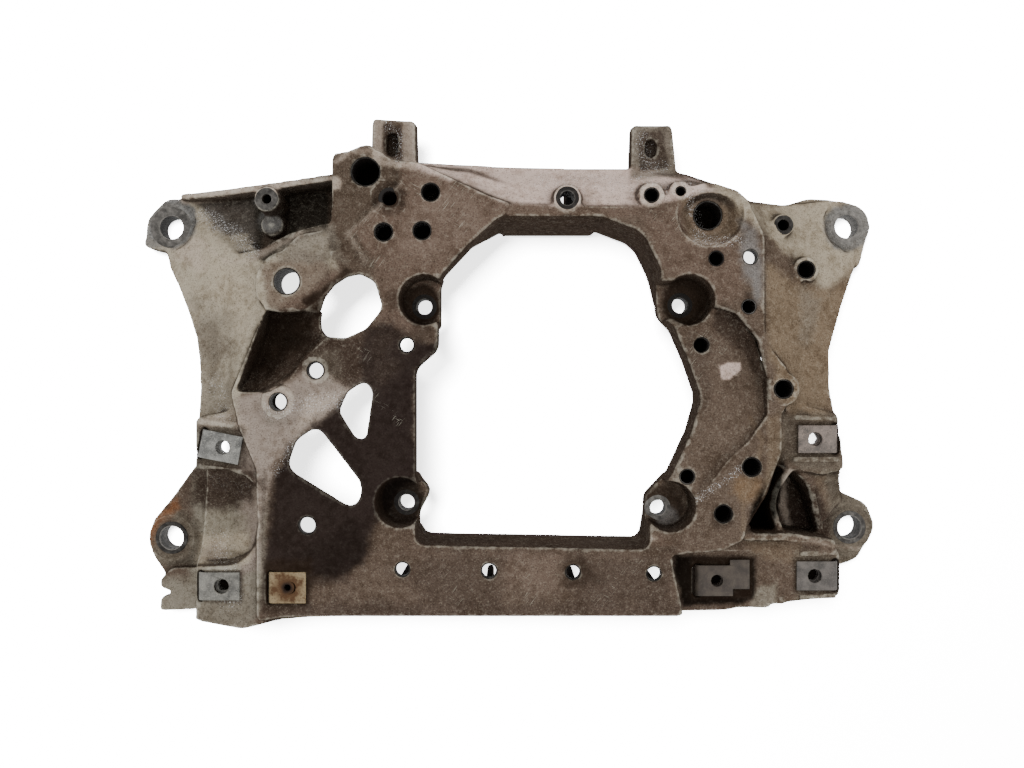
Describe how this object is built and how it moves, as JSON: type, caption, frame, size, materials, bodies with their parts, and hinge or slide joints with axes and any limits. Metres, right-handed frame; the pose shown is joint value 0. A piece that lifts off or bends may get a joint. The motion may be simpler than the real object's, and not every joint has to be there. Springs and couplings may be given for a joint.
{
  "type": "gearbox mount bracket",
  "caption": "Open-backed cast aluminium bracket round a large gearbox opening, with bolt ears at its corners and folded clip nuts on its rim.",
  "frame": {"origin": "middle of the bounding box in X and Y, on the plane of the four corner ears' rear faces", "axes": "+X along the length, to the right seen from the front; +Y towards the long side with the two slotted lugs; +Z out of the front face"},
  "size_m": [0.5588, 0.3704, 0.08],
  "materials": {
    "cast_aluminium": "weathered sand-textured casting with road dirt and oil",
    "zinc_steel": "dull zinc plate",
    "rusted_steel": "rusted through its zinc"
  },
  "bodies": {
    "root": {"bracket_casting": "cast_aluminium", "clip_nut_left_upper": "zinc_steel", "clip_nut_left_lower": "zinc_steel", "clip_nut_left_inner": "rusted_steel", "clip_nut_right_upper": "zinc_steel", "clip_nut_right_lower": "zinc_steel", "clip_nut_right_inner": "zinc_steel"}
  },
  "joints": []
}
